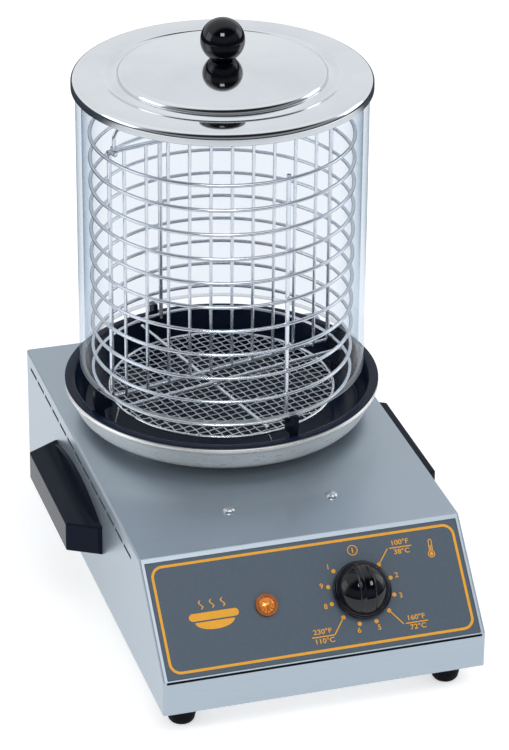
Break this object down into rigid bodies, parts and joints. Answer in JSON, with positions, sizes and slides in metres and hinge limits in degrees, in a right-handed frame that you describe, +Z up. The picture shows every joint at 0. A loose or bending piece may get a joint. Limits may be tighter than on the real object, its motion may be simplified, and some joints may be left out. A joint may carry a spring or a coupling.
{
  "type": "hot dog steamer",
  "caption": "Electric hot dog steamer: heated steel base with a sloped dial panel, water pan, glass cylinder with lid, and a divided wire basket.",
  "frame": {"origin": "on the table, in the middle of the footprint", "axes": "+Z up, +X to the right as the user faces the dial, +Y to the back"},
  "size_m": [0.2686, 0.384, 0.4016],
  "materials": {
    "housing_steel": "satin brushed stainless steel",
    "inner_steel": "galvanised sheet",
    "polished_steel": "mirror polished stainless steel",
    "wire_steel": "bright drawn stainless wire",
    "screw_steel": "bright zinc",
    "brass": "turned",
    "cast_aluminium": "cast and machined",
    "fascia_print": "satin slate grey print on metal",
    "orange_print": "orange print on the fascia",
    "black_plastic": "fine moulded grain",
    "black_gloss": "polished phenolic",
    "black_enamel": "non-stick coating",
    "black_rubber": "matt",
    "clear_glass": "borosilicate tube, polished ends",
    "amber_lens": "translucent amber",
    "dark_insulator": "moulded phenolic",
    "white_ceramic": "terminal porcelain",
    "gasket": "mica fibre",
    "copper_tube": "drawn copper"
  },
  "bodies": {
    "base": {"housing": "housing_steel", "base_plate": "inner_steel", "base_plate_screws": "screw_steel", "feet": "black_rubber", "foot_screws": "screw_steel", "foot_nuts": "screw_steel", "left_handle": "black_plastic", "right_handle": "black_plastic", "handle_screws": "screw_steel", "fascia_plate": "fascia_print", "control_bracket": "inner_steel", "thermostat_body": "dark_insulator", "thermostat_screws": "screw_steel", "thermostat_bulb": "copper_tube", "thermostat_capillary": "copper_tube", "lamp_bezel": "black_gloss", "lamp_lens": "amber_lens", "lamp_body": "dark_insulator", "lamp_nut": "dark_insulator", "hot_plate": "cast_aluminium", "hot_plate_gasket": "gasket", "heating_element": "inner_steel", "element_clamp": "inner_steel", "heat_shield": "inner_steel", "hot_plate_studs": "screw_steel", "hot_plate_nuts": "screw_steel", "heat_baffle": "inner_steel", "top_screws": "screw_steel", "top_screw_nuts": "screw_steel", "thermal_cutout": "white_ceramic", "cable_gland": "black_plastic", "gland_nut": "black_plastic", "terminal_block": "white_ceramic", "terminal_screws": "brass", "seam_gasket": "black_rubber"},
    "dial": {"control_knob": "black_gloss", "thermostat_shaft": "screw_steel"},
    "pan": {"water_pan": "black_enamel", "pan_ring": "polished_steel", "glass_rests": "black_plastic"},
    "glass": {"glass_cylinder": "clear_glass"},
    "lid": {"lid": "polished_steel", "lid_knob": "black_gloss", "lid_knob_screw": "screw_steel", "lid_knob_washer": "gasket"},
    "basket": {"basket_rings": "wire_steel", "basket_posts": "wire_steel", "basket_floor_bars": "wire_steel", "divider_rails": "wire_steel", "divider_wires": "wire_steel"},
    "bail": {"bail_handle": "wire_steel"},
    "grid": {"grid_rim": "wire_steel", "grid_wires_long": "wire_steel", "grid_wires_cross": "wire_steel", "grid_legs": "wire_steel"}
  },
  "joints": [
    {"name": "dial_turn", "type": "hinge", "parent": "base", "child": "dial", "pos_m": [0.0331, -0.16301, 0.07429], "axis": [0, 0.7071, -0.7071], "range_deg": [0, 315]},
    {"name": "pan_lift", "type": "slide", "parent": "base", "child": "pan", "axis": [0, 0, 1], "range_m": [0, 0.06]},
    {"name": "glass_lift", "type": "slide", "parent": "pan", "child": "glass", "axis": [0, 0, 1], "range_m": [0, 0.25]},
    {"name": "lid_lift", "type": "slide", "parent": "glass", "child": "lid", "axis": [0, 0, 1], "range_m": [0, 0.27]},
    {"name": "basket_lift", "type": "slide", "parent": "pan", "child": "basket", "axis": [0, 0, 1], "range_m": [0, 0.243]},
    {"name": "grid_lift", "type": "slide", "parent": "pan", "child": "grid", "axis": [0, 0, 1], "range_m": [0, 0.2376]},
    {"name": "bail_swing", "type": "hinge", "parent": "basket", "child": "bail", "pos_m": [0, 0.0537, 0.3229], "axis": [0.9711, 0.2385, 0], "range_deg": [-84, 84]}
  ],
  "couplings": [
    {"joint": "basket_lift", "follows": "lid_lift", "ratio": 0.9},
    {"joint": "grid_lift", "follows": "lid_lift", "ratio": 0.88}
  ]
}
